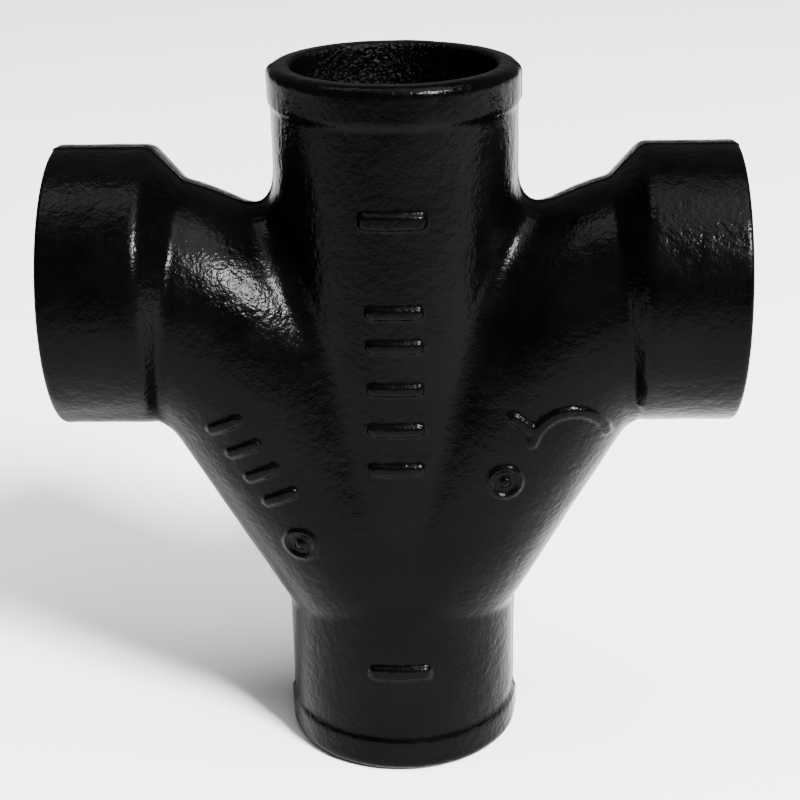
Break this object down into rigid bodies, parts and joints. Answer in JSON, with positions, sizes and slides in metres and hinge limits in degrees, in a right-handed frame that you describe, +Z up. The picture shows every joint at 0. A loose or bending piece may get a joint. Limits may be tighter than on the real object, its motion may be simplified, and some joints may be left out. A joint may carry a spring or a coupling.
{
  "type": "double branch drain fitting",
  "caption": "Black coated cast iron drain fitting: a straight run with beaded plain ends and opposed sweeping branches that end in round tapped hubs.",
  "frame": {"origin": "centre of the bottom rim, on the run's axis", "axes": "+Z up the run, branches towards -X and +X, front with the raised marks towards -Y"},
  "size_m": [0.1682, 0.0704, 0.1808],
  "materials": {
    "coated_iron": "glossy black asphaltic dip coating over a sand-cast grey iron surface, with fine orange-peel and lumps",
    "tapped_iron": "machined pipe thread in grey iron under a thin dark coat, worn brighter on the crests"
  },
  "bodies": {
    "root": {"bottom_spigot": "coated_iron", "top_spigot": "coated_iron", "centre_body": "coated_iron", "left_arm": "coated_iron", "right_arm": "coated_iron", "left_hub": "coated_iron", "right_hub": "coated_iron", "left_tapped_ring": "tapped_iron", "right_tapped_ring": "tapped_iron", "top_front_gasket_stop": "coated_iron", "top_back_gasket_stop": "coated_iron", "bottom_front_gasket_stop": "coated_iron", "bottom_back_gasket_stop": "coated_iron", "front_bar_mark": "coated_iron", "left_bar_mark": "coated_iron", "left_ring_mark": "coated_iron", "right_arc_mark": "coated_iron", "right_ring_mark": "coated_iron"}
  },
  "joints": []
}
